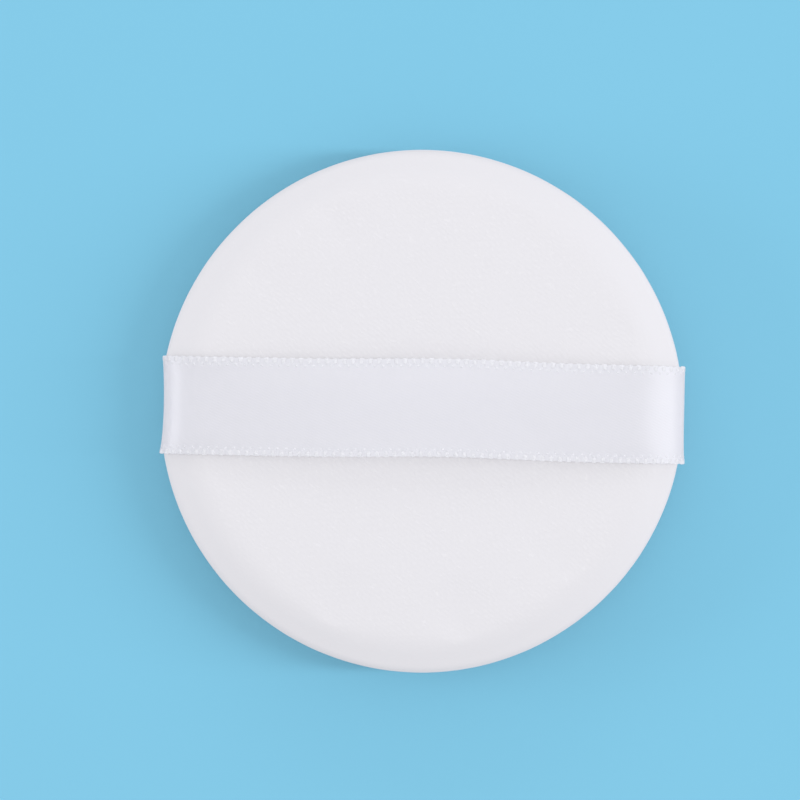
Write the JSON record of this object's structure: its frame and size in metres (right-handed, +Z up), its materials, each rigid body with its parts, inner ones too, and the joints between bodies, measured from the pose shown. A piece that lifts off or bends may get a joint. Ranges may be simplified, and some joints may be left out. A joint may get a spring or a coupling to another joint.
{
  "type": "powder puff",
  "caption": "Round cushioned powder puff with a crowned cloth back, a flat contact face and a satin ribbon finger band sewn into its rim, which lifts over the fingers.",
  "frame": {"origin": "centre of the flat contact face, on the surface that the puff rests on", "axes": "+Z up out of the back through the crown, +X along the finger band, +Y across it"},
  "size_m": [0.0542, 0.054, 0.0109],
  "materials": {
    "cover_cloth": "white fine twill cloth, matt",
    "contact_skin": "off-white smooth microporous polyurethane, matt",
    "foam": "cream open-cell foam",
    "thread": "white spun polyester",
    "satin_ribbon": "white satin with looped selvedges"
  },
  "bodies": {
    "pad": {"back_cover": "cover_cloth", "contact_skin": "contact_skin", "foam_core": "foam", "seam_thread": "thread", "band_end_left": "satin_ribbon", "band_end_right": "satin_ribbon"},
    "band": {"band_span": "satin_ribbon"}
  },
  "joints": [
    {"name": "band_lift", "type": "slide", "parent": "pad", "child": "band", "axis": [0, 0, 1], "range_m": [0, 0.005], "deforming": ["band_end_left", "band_end_right"]}
  ]
}
